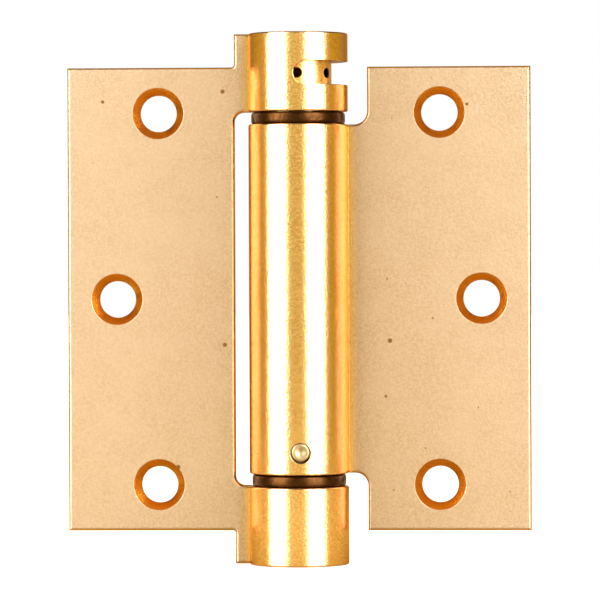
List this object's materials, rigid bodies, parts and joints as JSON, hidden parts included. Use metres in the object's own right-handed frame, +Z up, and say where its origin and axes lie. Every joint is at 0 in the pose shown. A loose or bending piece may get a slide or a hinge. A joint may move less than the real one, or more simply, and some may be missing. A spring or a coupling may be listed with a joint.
{
  "type": "self-closing spring hinge",
  "caption": "Square-cornered self-closing door hinge, shown open flat, with a sprung barrel, an adjusting slot in the top knuckle and countersunk screw holes.",
  "frame": {"origin": "on the pivot axis at mid-height of the barrel, which is the middle of the part's box", "axes": "+Z up along the pivot axis; +Y into the door and frame, so the countersunk faces look along -Y; +X from the frame leaf to the door leaf"},
  "size_m": [0.0888, 0.0193, 0.1016],
  "materials": {
    "leaf_plate": "satin brass plate over steel",
    "collar_plate": "satin brass plate over turned steel",
    "bearing_bronze": "dark oiled bronze",
    "spring_steel": "dark oil-tempered spring wire",
    "inner_steel": "plain turned steel"
  },
  "bodies": {
    "frame": {"frame_leaf": "leaf_plate", "lower_bearing": "bearing_bronze", "top_cap": "leaf_plate", "bottom_cap": "leaf_plate"},
    "door": {"door_leaf": "leaf_plate", "upper_bearing": "bearing_bronze", "spring_anchor": "inner_steel", "anchor_pin": "collar_plate", "torsion_spring": "spring_steel"},
    "collar": {"tension_collar": "collar_plate"}
  },
  "joints": [
    {"name": "leaf_swing", "type": "hinge", "parent": "frame", "child": "door", "pos_m": [0, 0, 0], "axis": [0, 0, -1], "range_deg": [-140, 180]},
    {"name": "collar_turn", "type": "hinge", "parent": "door", "child": "collar", "pos_m": [0, 0, 0.0431], "axis": [0, 0, -1], "range_deg": [0, 300], "stiffness_Nm_per_rad": 1.06, "deforming": ["torsion_spring"]}
  ]
}
